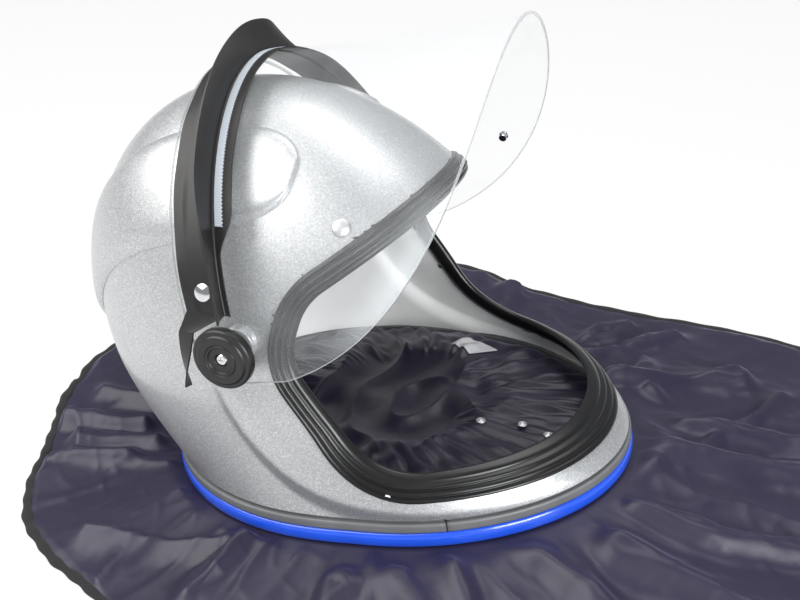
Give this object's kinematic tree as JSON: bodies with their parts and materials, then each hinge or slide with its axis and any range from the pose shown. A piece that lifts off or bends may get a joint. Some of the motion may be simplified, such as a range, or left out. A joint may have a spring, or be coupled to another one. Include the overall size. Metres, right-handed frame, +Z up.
{
  "type": "ventilated visor helmet",
  "caption": "Air-fed work helmet with a silver moulded shell, a clear visor swung up on two pivot knobs, a rubber face seal, and a blue band that clamps a spread navy cape.",
  "frame": {"origin": "on the floor, at the middle of the box round the spread cape", "axes": "+X the way the face looks, +Y the wearer's left, +Z up"},
  "size_m": [0.7056, 0.617, 0.332],
  "materials": {
    "shell": "silver flake in a clear gel coat",
    "seal": "satin black",
    "profile": "satin grey",
    "band": "glossy blue",
    "cape": "coated nylon with a sheen",
    "binding": "woven binding",
    "collar": "coated nylon with a sheen",
    "label": "woven, blank",
    "snap": "bright",
    "visor": "clear sheet",
    "vinyl": "satin black vinyl",
    "tape": "pinked tape",
    "rivet": "polished",
    "knob": "moulded black",
    "bush": "moulded black",
    "screw": "zinc plated",
    "webbing": "woven webbing",
    "foam": "open foam",
    "band_plastic": "moulded",
    "gasket": "flat ring"
  },
  "bodies": {
    "helmet": {"shell": "shell", "duct_cowl": "shell", "opening_seal": "seal", "rim_profile": "profile", "cape_band": "band", "cape": "cape", "cape_hem": "binding", "inner_collar": "collar", "collar_label": "label", "collar_snaps": "snap", "pivot_bush_right": "bush", "pivot_bush_left": "bush", "pivot_screw_right": "screw", "pivot_screw_left": "screw", "pivot_nut_right": "screw", "pivot_nut_left": "screw", "harness_rivets": "rivet", "crown_strap_right": "webbing", "crown_strap_left": "webbing", "crown_pad": "foam", "headband_hangers": "webbing", "headband": "band_plastic", "brow_pad": "foam", "air_ports": "bush", "air_diffusers": "foam", "air_inlet": "bush", "inlet_gasket": "gasket", "inlet_nut": "bush"},
    "visor": {"visor": "visor", "visor_studs": "snap", "flap_front": "vinyl", "flap_rear": "vinyl", "flap_tape": "tape", "flap_rivets": "rivet"},
    "knob_right": {"knob_right": "knob"},
    "knob_left": {"knob_left": "knob"},
    "headband_rear": {"headband_rear": "band_plastic", "ratchet_housing": "band_plastic"},
    "ratchet": {"ratchet_knob": "knob"}
  },
  "joints": [
    {"name": "visor_swing", "type": "hinge", "parent": "helmet", "child": "visor", "pos_m": [-0.11561, -0.0171, 0.14712], "axis": [0, 1, 0], "range_deg": [-6, 64]},
    {"name": "knob_right_turn", "type": "hinge", "parent": "helmet", "child": "knob_right", "pos_m": [-0.11561, -0.1545, 0.14712], "axis": [0, -1, 0], "range_deg": [-150, 150]},
    {"name": "knob_left_turn", "type": "hinge", "parent": "helmet", "child": "knob_left", "pos_m": [-0.11561, 0.1203, 0.14712], "axis": [0, 1, 0], "range_deg": [-150, 150]},
    {"name": "headband_adjust", "type": "slide", "parent": "helmet", "child": "headband_rear", "axis": [0.9952, 0, 0.0976], "range_m": [0, 0.0105]},
    {"name": "ratchet_turn", "type": "hinge", "parent": "headband_rear", "child": "ratchet", "pos_m": [-0.23733, -0.0171, 0.14234], "axis": [-0.9952, 0, -0.0976], "range_deg": [0, 170]}
  ],
  "couplings": [
    {"joint": "ratchet_turn", "follows": "headband_adjust", "rad_per_m": 250}
  ]
}
